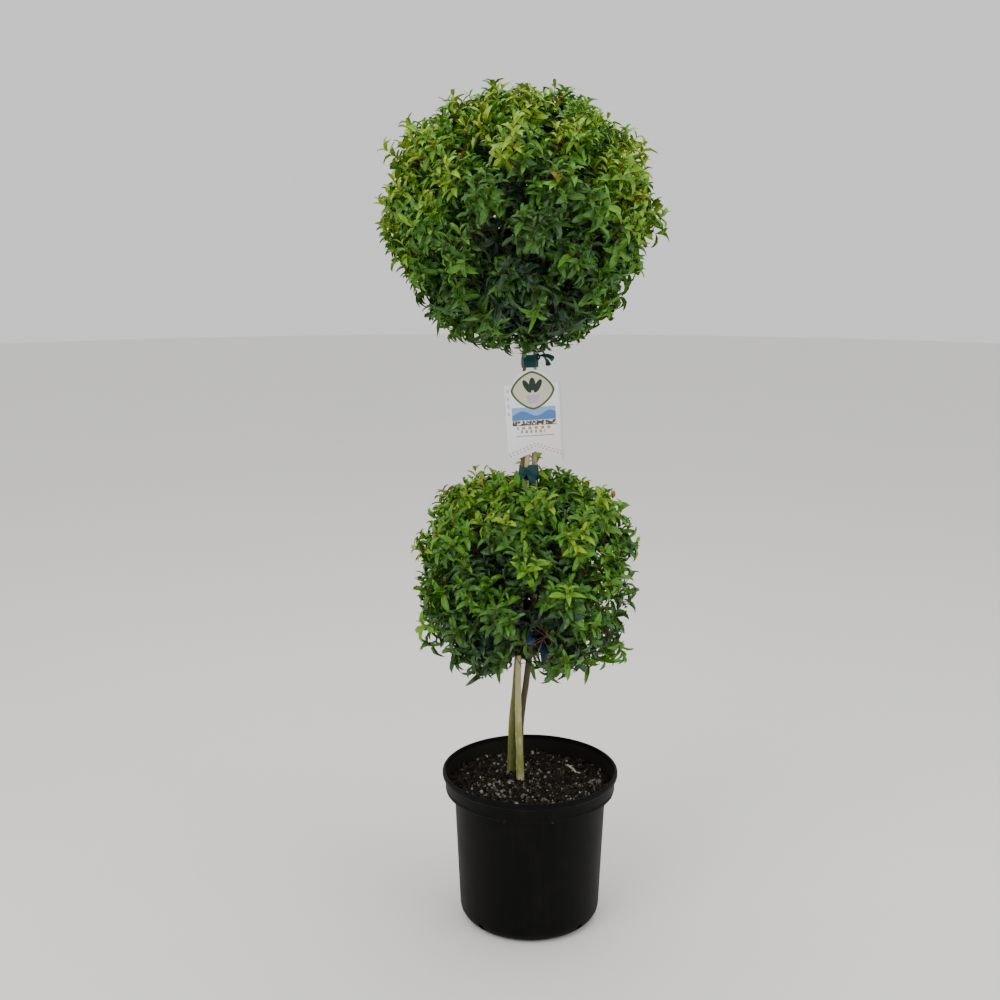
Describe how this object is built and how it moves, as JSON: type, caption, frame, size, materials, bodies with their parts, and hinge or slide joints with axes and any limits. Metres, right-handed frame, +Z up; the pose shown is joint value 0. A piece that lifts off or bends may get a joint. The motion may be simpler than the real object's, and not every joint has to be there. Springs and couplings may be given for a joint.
{
  "type": "potted eugenia topiary",
  "caption": "Clipped eugenia topiary with an upper and a lower ball of foliage on crossing stems, tied with tape, in a black nursery pot with a hanging tag.",
  "frame": {"origin": "centre of the pot's flat underside", "axes": "+Z up along the pot's axis; -Y faces the viewer on the pictured side, which carries the tag; +X to the viewer's right"},
  "size_m": [0.5217, 0.5084, 1.648],
  "materials": {
    "pot_plastic": "satin moulded black polyethylene",
    "potting_mix": "loose damp bark and peat with white perlite",
    "light_bark": "pale tan bark with green algae towards the foot",
    "dark_bark": "brown-grey bark with green algae towards the foot",
    "bough_bark": "smooth reddish-brown young bark",
    "foliage": "glossy yellow-green to dark green leaves on reddish-brown twigs",
    "tie_tape": "soft satin green-blue tie tape",
    "tag_card": "coated card with plain printed shapes"
  },
  "bodies": {
    "root": {"back_stem": "dark_bark", "front_stem": "light_bark", "lower_bough_1": "bough_bark", "lower_bough_2": "bough_bark", "lower_bough_3": "bough_bark", "lower_bough_4": "bough_bark", "lower_bough_5": "bough_bark", "lower_bough_6": "bough_bark", "lower_bough_7": "bough_bark", "lower_bough_8": "bough_bark", "lower_bough_9": "bough_bark", "lower_foliage_1": "foliage", "lower_foliage_2": "foliage", "lower_foliage_3": "foliage", "lower_foliage_4": "foliage", "lower_foliage_5": "foliage", "lower_foliage_6": "foliage", "lower_foliage_7": "foliage", "lower_foliage_8": "foliage", "lower_foliage_9": "foliage", "lower_tie": "tie_tape", "middle_tie": "tie_tape", "plant_tag": "tag_card", "pot": "pot_plastic", "potting_mix": "potting_mix", "side_stem": "dark_bark", "upper_bough_10": "bough_bark", "upper_bough_2": "bough_bark", "upper_bough_3": "bough_bark", "upper_bough_4": "bough_bark", "upper_bough_5": "bough_bark", "upper_bough_6": "bough_bark", "upper_bough_7": "bough_bark", "upper_bough_8": "bough_bark", "upper_bough_9": "bough_bark", "upper_foliage_1": "foliage", "upper_foliage_10": "foliage", "upper_foliage_2": "foliage", "upper_foliage_3": "foliage", "upper_foliage_4": "foliage", "upper_foliage_5": "foliage", "upper_foliage_6": "foliage", "upper_foliage_7": "foliage", "upper_foliage_8": "foliage", "upper_foliage_9": "foliage", "upper_tie": "tie_tape"}
  },
  "joints": []
}
